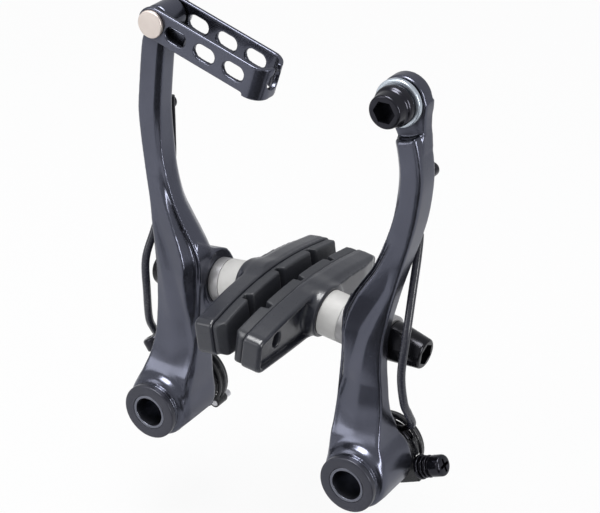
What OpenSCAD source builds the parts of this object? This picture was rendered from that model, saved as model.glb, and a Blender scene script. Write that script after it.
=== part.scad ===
// Linear-pull bicycle rim brake (V-brake), front view towards -Y, posts along Y.
// Frame: X across from the left arm to the right arm, Y from the bush faces to the
// bicycle frame, Z up. The origin lies midway between the two pivot axes, in the
// plane of the front faces of the pivot bushes. All sizes are in millimetres.

/* [Posts and pivots] */
// Distance between the two frame posts
post_spacing = 60; // [54:0.5:66]
// Diameter of a frame post, and of the bore in each bush
post_d = 8; // [7:0.1:9]
// Wall of the steel pivot bush
bush_wall = 0.8; // [0.6:0.1:1]
// Length of the pivot bush
bush_length = 25; // [24.5:0.5:28]
// Outer diameter of the front collar
collar_d = 15.2; // [13:0.2:17]
// Thickness of the front collar
collar_t = 1.6; // [1:0.1:2.2]
// Diameter of the pivot boss of an arm
boss_d = 17; // [16.4:0.1:17.6]
// Depth at which the pivot boss ends
boss_back = 18.4; // [17.6:0.2:19]
// Running clearance of an arm on its bush, on the radius
bush_fit = 0.06; // [0.03:0.01:0.1]

/* [Arms] */
// Skew of the whole pair about the posts, in degrees
arm_skew = 0.7; // [0:0.1:1.5]
// Depth of the front face of the upper bar
bar_front = 14; // [13.6:0.1:14.6]
// Depth of the upper bar, front to back
bar_depth = 7.3; // [6.6:0.1:7.6]
// Width of the upper bar
bar_w = 6.5; // [6:0.1:7.5]
// Outward reach of the bar at the spring hook
bar_reach = 7.2; // [6.5:0.1:8]
// Width of the lower web
web_w = 12.2; // [11.6:0.1:13]
// Distance from the pivot axis to the inner face of the wall that carries the shoe
wall_reach = 9; // [8.8:0.1:9.4]
// Thickness of the wall that carries the shoe
wall_t = 4.5; // [4:0.1:5]
// Height of the link pin above the pivot
link_h = 103; // [101:0.5:106]
// Height of the cable bolt above the pivot
bolt_h = 97; // [96:0.5:99]
// Outward offset of the link pin and the cable bolt from the pivot
head_x = 3.2; // [2.6:0.1:3.8]
// Height of the spring hook pin above the pivot
hook_h = 77.5; // [75:0.5:80]

/* [Link] */
// Length of the link from its pin to its far end
link_length = 33.2; // [31:0.5:36]
// Fall of the link below level, in degrees
link_fall = 17.3; // [0:0.1:30]
// Height of the link plates
link_height = 8.1; // [7.6:0.1:9]
// Thickness of the link sheet
link_t = 1.2; // [1:0.1:1.4]
// Width of the link across both plates
link_w = 10.8; // [10.7:0.1:11.4]
// Diameter of the link pin
link_pin_d = 5; // [4.4:0.2:5.4]
// Diameter of the visible head of the link pin
link_pin_head_d = 7; // [6.4:0.2:7.6]
// Length of a slot in the link plates
slot_length = 6.1; // [5:0.1:6.6]
// Height of a slot in the link plates
slot_height = 4; // [3:0.1:4.4]
// Pitch of the slots
slot_pitch = 8.7; // [8:0.1:9]

/* [Cable bolt] */
// Diameter of the cable bolt's shank
bolt_d = 6; // [5:0.5:6]
// Diameter of the cable bolt's head
bolt_head_d = 9; // [8.4:0.1:9.6]
// Height of the cable bolt's head
bolt_head_h = 6; // [5:0.2:6.4]
// Width across flats of the hexagon sockets
key_size = 5; // [4:0.5:5]
// Diameter of the clamp washer
washer_d = 11.8; // [11:0.2:12.4]
// Thickness of the clamp washer
washer_t = 1.5; // [1:0.1:1.8]

/* [Shoes] */
// Depth of the shoe studs
stud_y = 20.6; // [20:0.1:21]
// Height of the shoe studs above the pivots, at the arm's wall
stud_z = 32.5; // [32:0.1:33]
// Tilt of the shoe studs, outer end down, in degrees
stud_tilt = 7; // [5:0.5:8]
// Diameter of the threaded shoe stud
stud_d = 6; // [5.5:0.1:6]
// Length of a brake shoe
shoe_length = 55; // [50:1:60]
// Height of a brake shoe at its middle
shoe_h = 13.3; // [12:0.1:14]
// Thickness of the rubber block
rubber_t = 3.2; // [2.8:0.1:3.6]
// Width of the grooves in the rubber block
groove_w = 2; // [1.4:0.1:2.6]
// Distance between the grooves
groove_pitch = 14.5; // [13:0.5:15]
// Diameter of the shoe washers
shoe_washer_d = 12; // [11:0.2:12.2]
// Gap between the two brake shoes, which the dome washers beside them make up
shoe_gap = 2.5; // [1.5:0.1:4]
// Thickness of the cup washer beside the arm
cup_t = 3.1; // [2.8:0.1:3.4]
// Length of the shoe nut
nut_length = 9.8; // [8:0.2:11]
// Diameter of the shoe nut at its inner end
nut_d = 10.2; // [9.4:0.2:10.6]

/* [Springs] */
// Diameter of the spring wire
wire_d = 1.5; // [1.4:0.1:1.6]
// Outer diameter of the plastic sleeve on the spring leg
sleeve_d = 2.1; // [2:0.1:2.3]
// Outer diameter of the spring holder
holder_d = 17.6; // [17.4:0.1:18.4]
// Depth of the spring holder, front to back
holder_depth = 5.6; // [5.4:0.1:6]
// Turn of the left spring holder against the right one, in degrees
holder_turn = 30; // [20:1:40]
// Diameter of the heads of the spring hook pins
hook_d = 3.6; // [3:0.1:4]
// Diameter of the necks that the spring legs lean on
hook_neck_d = 1.8; // [1.6:0.1:2]

/* [Hidden] */

$fn = 64;
eps = 0.05;        // overlap of pieces that are fused into one solid
air = 0.3;         // air between faces that move past each other
seat_fit = 0.05;   // clearance of a shank in its hole, on the radius
left = -1;
right = 1;

bush_r = post_d / 2 + bush_wall;
boss_r = boss_d / 2;
boss_front = collar_t + air;
boss_neck = 1.1;                       // length of the narrow front neck of the boss
bar_back = bar_front + bar_depth;

// Arm wall and shoe slot
slot_travel = 1.5;                      // travel of the stud either way in its slot
stud_slot_r = stud_d / 2 + 0.25;
pad_boss_r = shoe_washer_d / 2 + 0.8;
pad_boss_rise = 0.5;                   // how far the pad boss stands off the wall

// Heads of the arms
link_lug_r = link_height / 2 - 0.15;
bolt_lug_r = washer_d / 2 + 0.1;
bolt_seat_y = bar_front + 3;           // floor of the recess behind the clamp washer
cable_gap = 0.5;                       // gap at the seat where the cable is clamped
washer_y = bolt_seat_y - cable_gap - washer_t;
link_y = bar_front - 2;
pin_head_t = 0.9;
clip_t = 0.7;

// Brake shoe, along the stud from the arm's wall (negative is towards the rim)
holder_hump = 2.4;
holder_rim = 0.8;
holder_core = 4.4;
// distance from the arm's wall to the shoe's friction face
shoe_reach = (post_spacing / 2 - wall_reach) / cos(stud_tilt) - shoe_gap / 2;
stack = shoe_reach - rubber_t - holder_core - holder_rim - holder_hump;
dome_t = stack - pad_boss_rise - cup_t;
shoe_seam = -stack - holder_hump - holder_rim - holder_core;
rubber_gap = eps;
dome_sphere_r = 9;
ball_gap = 0.1;                        // gap between dome and cup
outer_cup_t = cup_t - 0.3;
outer_dome_t = 2;
nut_x = wall_t + outer_cup_t + outer_dome_t;
socket_depth = 4.6;

// Spring
holder_front = boss_back + air;
holder_back = holder_front + holder_depth;
holder_wall = 0.9;
coil_r = 6.4;
hub_wall = 0.6;                        // wall of the holder round the bush
coil_turns = 1.5;
coil_pitch = wire_d + 0.1;
coil_back = holder_back - air - wire_d / 2;           // depth of the coil's last turn
coil_front = coil_back - coil_turns * coil_pitch;      // depth at which the leg starts

function lerp(a, b, t) = a + (b - a) * t;
function clamp01(t) = min(1, max(0, t));
// Point t of the way from p1 to p2 on the smooth curve through four points
function smooth4(p0, p1, p2, p3, t) =
    0.5 * (2 * p1 + (p2 - p0) * t + (2 * p0 - 5 * p1 + 4 * p2 - p3) * t * t
           + (3 * p1 - p0 - 3 * p2 + p3) * t * t * t);
// A list of points made denser along a smooth curve
function smooth(p, n) = concat(
    [for (i = [0 : len(p) - 2], k = [0 : n - 1])
        smooth4(p[max(i - 1, 0)], p[i], p[i + 1], p[min(i + 2, len(p) - 1)], k / n)],
    [p[len(p) - 1]]);

module at_post(side) {
    translate([side * post_spacing / 2, 0, 0]) mirror([side < 0 ? 1 : 0, 0, 0]) children();
}
module at_arm(side) {
    translate([side * post_spacing / 2, 0, 0]) rotate([0, -arm_skew, 0])
        mirror([side < 0 ? 1 : 0, 0, 0]) children();
}
module at_stud(side) {
    at_arm(side) translate([-wall_reach, stud_y, stud_z]) rotate([0, stud_tilt, 0]) children();
}
// A round bar along +Y from depth y0 to y1, at x and z
module bar_y(x, z, y0, y1, r) {
    translate([x, y0, z]) rotate([-90, 0, 0]) cylinder(h = y1 - y0, r = r);
}
// A round bar along +X from x0 to x1
module bar_x(x0, x1, r) {
    translate([x0, 0, 0]) rotate([0, 90, 0]) cylinder(h = x1 - x0, r = r);
}
module hexagon_y(x, z, y0, y1, flats) {
    translate([x, y0, z]) rotate([-90, 0, 0]) rotate([0, 0, 30])
        cylinder(h = y1 - y0, r = flats / 2 / cos(30), $fn = 6);
}

// Arm: a forged bar, lofted through level sections

bar_in = bar_reach - bar_w / 2;
bar_out = bar_reach + bar_w / 2;
web_out = web_w - wall_reach;
web_front = bar_front - 4.3;
pocket_front = 14;                     // back of the web beside the shoe washers
rib_front = web_front + 2;             // front of the wall below the hook

// Station: height, inner edge, inner edge of the front face, outer edge, front face,
// front of the wall or rib, back of the web, back of the wall, bevel of the inner back edge
function lower_stations() = [
    [0, -boss_r + 0.1, -boss_r + 1, boss_r - 1, boss_front + boss_neck + 0.6,
        boss_front + boss_neck + 1.4, boss_back - 0.2, boss_back - 0.2, 0.9],
    [5, -wall_reach + 0.2, -wall_reach + 1.1, boss_r - 2.2, boss_front + boss_neck + 1.2,
        boss_front + boss_neck + 2.4, boss_back - 0.6, boss_back - 0.4, 0.9],
    [9, -wall_reach, -wall_reach + 0.9, web_out + 0.9, boss_front + boss_neck + 2.8,
        boss_front + boss_neck + 5, boss_back - 2, boss_back - 0.9, 0.9],
    [12, -wall_reach, -wall_reach + 0.7, web_out + 0.2, web_front - 2.9, web_front - 0.4, pocket_front + 1.6,
        boss_back - 1.1, 0.9],
    [15.5, -wall_reach, -wall_reach + 0.6, web_out, web_front - 1.2, web_front + 0.2, pocket_front + 0.4,
        boss_back - 1.2, 0.9],
    [19, -wall_reach, -wall_reach + 0.9, web_out + 0.2, web_front - 0.4, web_front + 0.6, pocket_front,
        boss_back - 1.2, 0.9],
    [23, -wall_reach, -wall_reach + 1.9, web_out + 0.2, web_front - 0.1, rib_front - 0.9, pocket_front,
        boss_back - 1.1, 0.9],
    [29, -wall_reach, -wall_reach + 3, web_out, web_front, rib_front - 0.1, pocket_front, boss_back - 0.8, 0.9],
    [36, -wall_reach, -wall_reach + 3.8, web_out + 0.2, web_front + 0.4, rib_front + 0.2, pocket_front,
        bar_back - 2.3, 1.2],
    [41, -wall_reach + 0.3, -wall_reach + 4.4, web_out + 0.9, web_front + 1, rib_front + 0.3,
        pocket_front + 0.6, bar_back - 1.1, 2.2],
    [46, bar_in - 10.4, bar_in - 6.8, web_out + 1.7, web_front + 1.6, rib_front + 0.3,
        pocket_front + 1.8, bar_back - 0.6, 3.3],
    [50, bar_in - 8, bar_in - 4.9, web_out + 2.4, web_front + 2.1, web_front + 2.3,
        pocket_front + 2.9, bar_back - 0.4, 3.7],
    [55, bar_in - 5, bar_in - 2.6, bar_out - 3.9, bar_front - 1.6, bar_front - 1.5,
        pocket_front + 4.6, bar_back - 0.2, 3.7],
    [62, bar_in - 2.3, bar_in - 0.5, bar_out - 2.3, bar_front - 0.9, bar_front - 0.7,
        bar_back - 0.8, bar_back - 0.1, 3.5],
    [69, bar_in - 0.6, bar_in + 0.8, bar_out - 0.9, bar_front - 0.3, bar_front + 0.3, bar_back,
        bar_back, 3],
    [hook_h, bar_in, bar_in + 1.3, bar_out, bar_front, bar_front + 1.3, bar_back, bar_back, 2]
];
// The bar leans back in to the centre of its head; bend is the share of the way up where it starts
function head_station(z, t, half) = let (x0 = lerp(bar_in, head_x - half, t), x1 = lerp(bar_out, head_x + half, t))
    [z, x0, x0 + 1.3, x1, bar_front + 0.05, bar_front + 1.35, bar_back - 0.05, bar_back - 0.05, 0.9];
function head_stations(head_h, head_r, bend) = let (neck_h = head_h - head_r + 0.6) [
    head_station(lerp(hook_h, neck_h, bend), 0.1, bar_w / 2),
    head_station(lerp(hook_h, neck_h, bend + (1 - bend) * 0.75), 0.45, bar_w / 2),
    head_station(neck_h, 0.75, bar_w / 2),
    head_station(head_h, 1, min(bar_w / 2, head_r - 0.3))];
function stations(head_h, head_r, bend) = concat(lower_stations(), head_stations(head_h, head_r, bend));

// Depth of the groove beside the rib: none at the boss, deepest above the shoe, gone at the hook
function groove_at(z) = 1.9 * clamp01((z - 24) / 20) * clamp01((hook_h - 5 - z) / 14);
// Where the two diagonal creases of the front cross a level section, 0 inside, 1 outside
function crease_lo(z) = clamp01((z - 20) / 26);
function crease_hi(z) = clamp01((z - 34) / 26);
function bump(t) = 4 * t * (1 - t);

function section(s) =
    let (z = s[0], xi = s[1], xf = s[2], xo = s[3], yf = s[4], yr = s[5], yo = s[6], yb = s[7], c = s[8],
         g = groove_at(z), a = crease_lo(z), b = crease_hi(z), round_out = z < 55 ? 0.6 : 1.3,
         xw = max(z < hook_h / 2 + 8 ? -wall_reach + wall_t : xi, xi + max(wall_t / 2, c + 0.3)))
    [[xi, yr + 0.6], [xi + 0.3, yr], [lerp(xi, xf, 0.55), lerp(yr, yf, 0.5) + g],
     [xf, yf + 0.35 + g * 0.4], [xf + 0.5, yf],
     [lerp(xf + 0.9, xo - 1.7, b), yf - 0.9 * bump(b)],
     [lerp(xf + 1.2, xo - 1.4, a), yf - 1.1 * bump(a)],
     [xo - round_out, yf + 0.05], [xo - round_out * 0.3, yf + round_out * 0.35], [xo, yf + round_out + 0.1],
     [xo, yo - 0.8], [xo - 0.8, yo], [xw + 0.3, yo], [xw, yb],
     [xi + c * 0.8, yb], [xi + c * 0.28, yb - c * 0.38], [xi, yb - c]];

module loft(rings) {
    n = len(rings[0]);
    m = len(rings);
    polyhedron(
        points = [for (r = rings, p = r) p],
        faces = concat(
            [[for (i = [0 : n - 1]) i]],
            [for (k = [0 : m - 2], i = [0 : n - 1])
                [k * n + i, (k + 1) * n + i, (k + 1) * n + (i + 1) % n]],
            [for (k = [0 : m - 2], i = [0 : n - 1])
                [k * n + i, (k + 1) * n + (i + 1) % n, k * n + (i + 1) % n]],
            [[for (i = [0 : n - 1]) (m - 1) * n + n - 1 - i]]));
}
module arm_bar(head_h, head_r, bend) {
    loft([for (s = smooth(stations(head_h, head_r, bend), 2)) [for (p = section(s)) [p[0], p[1], s[0]]]]);
}
// Round-ended plate across the stud, from x0 to x1, with its length up the arm
module stud_plate(x0, x1, r) {
    for (k = [-1, 1]) translate([0, 0, k * slot_travel]) bar_x(x0, x1, r);
    translate([x0, -r, -slot_travel]) cube([x1 - x0, 2 * r, 2 * slot_travel]);
}
module arm_blank(side, head_h, head_r, lug_front, bend) {
    at_arm(side) {
        bar_y(0, 0, boss_front, boss_front + boss_neck + eps, collar_d / 2 - 0.4);
        bar_y(0, 0, boss_front + boss_neck, boss_back, boss_r);
        arm_bar(head_h, head_r, bend);
        bar_y(head_x, head_h, lug_front, bar_back, head_r);
    }
    at_stud(side) {
        stud_plate(-pad_boss_rise, wall_t, pad_boss_r);
        // web between the bar's back and the pad boss
        rotate([90, 0, 90]) linear_extrude(wall_t)
            polygon([[-8, 3], [-7, 13.6], [-3.2, 10.8], [0.6, 8.9], [4.4, 7.2], [6, 3]]);
    }
}
module arm_cuts(side) {
    at_arm(side) {
        bar_y(0, 0, 0, boss_back + 1, bush_r + bush_fit);
        bar_y(bar_reach, hook_h, bar_back - 2.2, bar_back + 1, hook_neck_d / 2 + seat_fit);
    }
    at_stud(side) {
        stud_plate(-pad_boss_rise - 1, wall_t + 1, stud_slot_r);
        // spot faces for the shoe washers
        stud_plate(-pad_boss_rise - 12, -pad_boss_rise, shoe_washer_d / 2 + 0.5);
        stud_plate(wall_t, wall_t + 14, shoe_washer_d / 2 + 0.5);
    }
}
module left_arm() color("#50505c") difference() {
    arm_blank(left, link_h, link_lug_r, bar_front, 0.28);
    arm_cuts(left);
    at_arm(left) bar_y(head_x, link_h, bar_front - 1, bar_back + 1, link_pin_d / 2 + seat_fit);
}
module right_arm() color("#50505c") difference() {
    arm_blank(right, bolt_h, bolt_lug_r, bolt_seat_y, 0.43);
    arm_cuts(right);
    at_arm(right) {
        bar_y(head_x, bolt_h, bar_front - 3, bolt_seat_y, washer_d / 2 + 3);
        bar_y(head_x, bolt_h, bar_front - 3, bar_back + 1, bolt_d / 2 + seat_fit);
    }
}

// Pivot: bush, front collar, spring holder

module pivot_bush(side) color("#6c6e78") at_post(side) difference() {
    bar_y(0, 0, 0, bush_length, bush_r);
    bar_y(0, 0, -1, bush_length + 1, post_d / 2);
}
module front_collar(side) color("#45454f") at_post(side) difference() {
    bar_y(0, 0, 0, collar_t, collar_d / 2);
    bar_y(0, 0, -1, collar_t + 1, bush_r + seat_fit);
}

// The screw's line lies across the holder, off its centre
screw_base = [9.5, -2.8];
screw_dir = 24.5;
screw_y = holder_front + 1.9;
screw_d = 3;
screw_flange_d = 5.6;
screw_head_d = 5.4;
holder_lug = 6.4;
anchor_d = 2;
anchor_at = [-6.9, -5.4];
anchor_wall = 0.4;                     // wall of the holder round the anchor pin

module at_screw(side) {
    at_post(side) rotate([0, side < 0 ? -holder_turn : 0, 0])
        translate([screw_base[0], screw_y, screw_base[1]]) rotate([0, -screw_dir, 0]) children();
}
// Ring-shaped room for the coil, open at the back
module coil_room(side) {
    at_post(side) difference() {
        bar_y(0, 0, coil_front - wire_d / 2 - air, holder_back + 1, holder_d / 2 - holder_wall);
        bar_y(0, 0, holder_front, holder_back + 2, bush_r + hub_wall);
        bar_y(anchor_at[0], anchor_at[1], holder_front, holder_back + 2, anchor_d / 2 + anchor_wall);
    }
}
module spring_holder(side) color("#1d1d20") difference() {
    union() {
        at_post(side) {
            bar_y(0, 0, holder_front, holder_front + 1.3, holder_d / 2 - 0.8);
            bar_y(0, 0, holder_front + 1.2, holder_front + 2.6, holder_d / 2);
            bar_y(0, 0, holder_front + 2.5, holder_front + 3.7, holder_d / 2 - 0.5);
            bar_y(0, 0, holder_front + 3.6, holder_back, holder_d / 2);
            bar_y(anchor_at[0], anchor_at[1], holder_front + 1.2, holder_back, anchor_d / 2 + anchor_wall);
        }
        at_screw(side) translate([-6.5, -1.85, -holder_lug / 2]) cube([6.5 - air, 4.3, holder_lug]);
    }
    at_post(side) {
        bar_y(0, 0, holder_front - 1, holder_back + 2, bush_r + seat_fit);
        // mouth in the wall where the spring leaves the holder
        translate([1.4, holder_front - 1, 4.6]) cube([7.4, coil_front - holder_front + 2, 6]);
        bar_y(anchor_at[0], anchor_at[1], holder_back - 4.6, holder_back + 1, anchor_d / 2 + seat_fit);
    }
    coil_room(side);
    at_screw(side) {
        bar_x(-8, 1, screw_d / 2 + seat_fit);
        // spot face under the screw's flange
        bar_x(-air, 9, screw_flange_d / 2 + air);
    }
}
module anchor_pin(side) color("#c9c9c9") at_post(side)
    bar_y(anchor_at[0], anchor_at[1], holder_back - 4.4, holder_back + 2.2, anchor_d / 2);

module tension_screw(side) color("#161618") at_screw(side) difference() {
    union() {
        bar_x(-1, 1, screw_d / 2);
        bar_x(0, 0.9, screw_flange_d / 2);
        bar_x(0.8, 4, screw_head_d / 2 - 0.7);
        for (k = [0 : 1]) bar_x(1.4 + 1.2 * k, 2 + 1.2 * k, screw_head_d / 2);
        bar_x(3.9, 6.1, screw_head_d / 2 - 0.1);
    }
    for (a = [0, 90]) translate([4.9, 0, 0]) rotate([a, 0, 0]) translate([0, -1.8, -0.4])
        cube([2, 3.6, 0.8]);
}

// Return spring: coil in the holder, leg up behind the arm

function unit(v) = v / norm(v);
function tube_ring(c, d, r, n) =
    let (u = unit(cross(d, abs(d[1]) > 0.9 ? [1, 0, 0] : [0, 1, 0])), w = cross(d, u))
    [for (i = [0 : n - 1]) c + r * (u * cos(360 * i / n) + w * sin(360 * i / n))];
function path_dirs(p) = [for (i = [0 : len(p) - 1])
    unit(p[min(i + 1, len(p) - 1)] - p[max(i - 1, 0)])];
module tube(path, r, n) {
    d = path_dirs(path);
    loft([for (i = [0 : len(path) - 1]) tube_ring(path[i], d[i], r, n)]);
}
coil_end = 74;                         // angle at which the coil runs out into the leg
// Points of the leg, from the mouth of the holder to above the hook pin
leg_x = bar_reach - hook_neck_d / 2 - wire_d / 2 - 0.1;
leg_y = bar_back + wire_d / 2 + 0.15;
leg = [[4, coil_front - 0.1, 6.5], [6.4, 19.2, 8.9], [8.4, 17.4, 11.6], [8.7, 14.6, 16], [8.4, 12.8, 20], [8, 11.9, 28],
       [8.5, 12.6, 37], [7.8, 15.6, 44], [7.1, 18.4, 50], [6.5, 21, 56], [6, bar_back + 1.3, hook_h - 15.5],
       [leg_x, leg_y, hook_h - 7.5], [leg_x, leg_y, hook_h], [leg_x, leg_y, hook_h + 2.6]];
leg_path = smooth(leg, 2);
sleeve_path = [for (i = [3 : 20]) leg_path[i]];
coil = [for (i = [0 : coil_turns * 16])
    let (a = coil_end - 360 * coil_turns + 22.5 * i)
    [coil_r * cos(a), coil_back - coil_pitch * i / 16, coil_r * sin(a)]];

module return_spring(side) color("#2a2a2e") at_arm(side)
    tube(concat(coil, leg_path), wire_d / 2, 8);
module spring_sleeve(side) color("#3a3a42") at_arm(side) difference() {
    tube(sleeve_path, sleeve_d / 2, 8);
    tube(sleeve_path, wire_d / 2 + seat_fit, 8);
}
module hook_pin(side) color("#1a1a1c") at_arm(side) {
    bar_y(bar_reach, hook_h, bar_back - 2, bar_back + 2, hook_neck_d / 2);
    bar_y(bar_reach, hook_h, bar_back + 1.9, bar_back + 3.3, hook_d / 2);
}

// Brake shoe and its washers, in the frame of the stud

stud_high = 0.45;                      // how far the stud sits above the middle of the shoe
// Side outline of the shoe: two shallow arcs and blunt ends, shrunk by inset
function shoe_outline(inset) =
    let (l = shoe_length / 2 - inset, top = shoe_h / 2 - stud_high - inset, bottom = shoe_h / 2 + stud_high - inset,
         rise = 3.4, sag = 0.9, nose = 2.6,
         e_top = top - rise * pow((l - nose) / l, 2), e_bottom = -bottom + sag * pow((l - nose) / l, 2))
    concat(
        [for (i = [-5 : 5]) let (y = (l - nose) * i / 5) [y, top - rise * pow(y / l, 2)]],
        [for (q = [[0.6, 0.14], [0, 0.38], [0, 0.68], [0.6, 0.88]]) [l - q[0], lerp(e_top, e_bottom, q[1])]],
        [for (i = [5 : -1 : -5]) let (y = (l - nose) * i / 5) [y, -bottom + sag * pow(y / l, 2)]],
        [for (q = [[0.6, 0.88], [0, 0.68], [0, 0.38], [0.6, 0.14]]) [q[0] - l, lerp(e_top, e_bottom, q[1])]]);
module shoe_slab(x0, x1, inset) {
    translate([x0, 0, 0]) rotate([90, 0, 90]) linear_extrude(x1 - x0) polygon(shoe_outline(inset));
}
hump_r = 7;
panel_inset = 2.2;
module shoe_holder(side) color("#41434b") at_stud(side) difference() {
    union() {
        shoe_slab(shoe_seam, shoe_seam + holder_core, 0);
        shoe_slab(shoe_seam + holder_core - eps, shoe_seam + holder_core + holder_rim, 0.8);
        bar_x(shoe_seam + holder_core, -stack, hump_r);
        // rear rib that runs from the hump down to the tail
        translate([0, 0, -3.4]) linear_extrude(6.8) polygon([
            [shoe_seam + 2, 0], [-stack - 0.6, 4], [-stack - 0.6, 6.6],
            [shoe_seam + holder_core + 1.2, shoe_length / 2 - 6], [shoe_seam + 2, shoe_length / 2 - 4]]);
    }
    // recessed panel on the outer face, in front of the hump
    intersection() {
        shoe_slab(shoe_seam + holder_core - 0.2, shoe_seam + holder_core + 2, panel_inset);
        translate([shoe_seam, -shoe_length / 2, -shoe_h]) cube([20, shoe_length / 2 - hump_r + 1, 2 * shoe_h]);
    }
    translate([0, -shoe_length / 2 + 9.5, -0.8]) bar_x(shoe_seam + 2, -stack, 1.9);
    bar_x(-stack - 6, -stack + 1, stud_d / 2 + seat_fit);
}
module friction_block(side) color("#47494f") at_stud(side) difference() {
    shoe_slab(shoe_seam - rubber_t, shoe_seam - rubber_gap, 0.4);
    for (k = [-1 : 1]) translate([shoe_seam - rubber_t - 1, k * groove_pitch - groove_w / 2 + 0.4, -shoe_h])
        cube([rubber_t, groove_w, 2 * shoe_h]);
    // lead-in at both ends of the friction face
    for (k = [-1, 1]) translate([shoe_seam - rubber_t, k * (shoe_length / 2 - 0.4), 0])
        rotate([0, 0, 45]) cube([2.6, 2.6, 2 * shoe_h], center = true);
}
module shoe_stud(side) color("#8d8f94") at_stud(side)
    bar_x(-stack - 6, nut_x + nut_length - socket_depth - 0.2, stud_d / 2);

// Washer pair with a ball-shaped joint: the dome sits in the cup
module ball_at(x, r) { translate([x, 0, 0]) rotate([0, 90, 0]) sphere(r = r); }
function ball_depth(r) = sqrt(pow(dome_sphere_r, 2) - r * r);
module dome_washer(x_back, t, r, out) {
    // flat at x_back, domed end towards out; t is its height at the rim
    crown = t + dome_sphere_r - ball_depth(r);
    difference() {
        intersection() {
            bar_x(min(x_back, x_back + out * crown), max(x_back, x_back + out * crown), r);
            ball_at(x_back + out * (t - ball_depth(r)), dome_sphere_r);
        }
        bar_x(-40, 40, stud_d / 2 + seat_fit + 0.1);
    }
}
module cup_washer(x_back, t, r, out, gap) {
    // flat at x_back, hollow end towards out; t is its height at the rim
    difference() {
        bar_x(min(x_back, x_back + out * t), max(x_back, x_back + out * t), r);
        ball_at(x_back + out * (t + ball_depth(r)), dome_sphere_r + gap);
        bar_x(-40, 40, stud_d / 2 + seat_fit + 0.1);
    }
}
module inner_dome_washer(side) color("#eceae8") at_stud(side)
    dome_washer(-stack, dome_t, shoe_washer_d / 2, 1);
module inner_cup_washer(side) color("#c4c3c4") at_stud(side)
    cup_washer(-pad_boss_rise, cup_t, shoe_washer_d / 2, -1, ball_gap);
module outer_cup_washer(side) color("#c4c3c4") at_stud(side)
    cup_washer(wall_t, outer_cup_t, shoe_washer_d / 2, 1, ball_gap);
module outer_dome_washer(side) color("#c4c3c4") at_stud(side)
    dome_washer(nut_x, outer_dome_t, shoe_washer_d / 2, -1);

module shoe_nut(side) color("#17171a") at_stud(side) difference() {
    union() {
        bar_x(nut_x, nut_x + 1.4, nut_d / 2);
        translate([nut_x + 1.4, 0, 0]) rotate([0, 90, 0])
            cylinder(h = nut_length - 1.8, r1 = nut_d / 2, r2 = nut_d / 2 - 1.2);
        bar_x(nut_x + nut_length - 0.5, nut_x + nut_length, nut_d / 2 - 1.5);
    }
    bar_x(nut_x - 1, nut_x + nut_length - socket_depth, stud_d / 2 + seat_fit);
    translate([nut_x + nut_length - socket_depth, 0, 0]) rotate([0, 90, 0])
        cylinder(h = socket_depth + 1, r = key_size / 2 / cos(30), $fn = 6);
}

// Link, in a frame with X along it from its pin, Y through both plates

bend_r = 4.6;
keyhole_r = 2.6;
keyhole_slot = 2.4;
strap_drop = 0.8;
slot_first = 7.1;

module at_link() {
    at_arm(left) translate([head_x, link_y, link_h]) mirror([1, 0, 0]) rotate([0, link_fall, 0])
        children();
}
// Plan of a folded strip: straight legs and a far end with round corners
module bent_plan(x0, x1, y0, y1, r) {
    translate([x0, y0]) square([x1 - r - x0, y1 - y0]);
    translate([x1 - r - eps, y0 + r]) square([r + eps, y1 - y0 - 2 * r]);
    for (y = [y0 + r, y1 - r]) translate([x1 - r, y]) circle(r = r);
}
module link_strip(h) {
    linear_extrude(h) difference() {
        bent_plan(0, link_length, 0, link_w, bend_r);
        bent_plan(-1, link_length - link_t, link_t, link_w - link_t, bend_r - link_t);
    }
}
module cable_link() color("#4c4f5a") at_link() difference() {
    union() {
        translate([0, 0, -link_height / 2]) link_strip(link_height);
        for (y = [0, link_w - link_t]) bar_y(0, 0, y, y + link_t, link_height / 2);
        // the strap under the keyhole hangs a little lower
        intersection() {
            translate([0, 0, -link_height / 2 - strap_drop]) link_strip(link_height / 2);
            translate([link_length - bend_r - 0.6, -1, -link_height]) cube([bend_r + 2, link_w + 2, link_height]);
        }
    }
    bar_y(0, 0, -1, link_w + 1, link_pin_d / 2 + 0.06);
    for (k = [0 : 2]) translate([slot_first + k * slot_pitch, 0, 0]) {
        for (e = [-1, 1]) bar_y(e * (slot_length - slot_height) / 2, 0, -1, link_w + 1, slot_height / 2);
        translate([-(slot_length - slot_height) / 2, -1, -slot_height / 2])
            cube([slot_length - slot_height, link_w + 2, slot_height]);
    }
    translate([0, link_w / 2, 0.3]) {
        bar_x(link_length - 3, link_length + 1, keyhole_r);
        translate([link_length - 3, -keyhole_slot / 2, 0]) cube([5, keyhole_slot, link_height]);
    }
}
module link_pin() color("#e4ddd8") at_arm(left) difference() {
    union() {
        bar_y(head_x, link_h, link_y - 0.1 - pin_head_t, link_y - 0.1, link_pin_head_d / 2);
        bar_y(head_x, link_h, link_y - 0.1 - eps, link_y + link_w + 0.1 + clip_t + 0.8, link_pin_d / 2);
    }
    difference() {
        bar_y(head_x, link_h, link_y + link_w + 0.08, link_y + link_w + 0.12 + clip_t, link_pin_d);
        bar_y(head_x, link_h, link_y, link_y + link_w + 2, link_pin_d / 2 - 0.5);
    }
}
module link_pin_clip() color("#8b8d92") at_arm(left) translate([head_x, link_y + link_w + 0.1, link_h])
    difference() {
        bar_y(0, 0, 0, clip_t, link_pin_d / 2 + 1.5);
        bar_y(0, 0, -1, 2, link_pin_d / 2 - 0.45);
        translate([-1.4, -1, -6]) cube([2.8, 3, 6]);
    }

// Cable bolt and clamp washer

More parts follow.
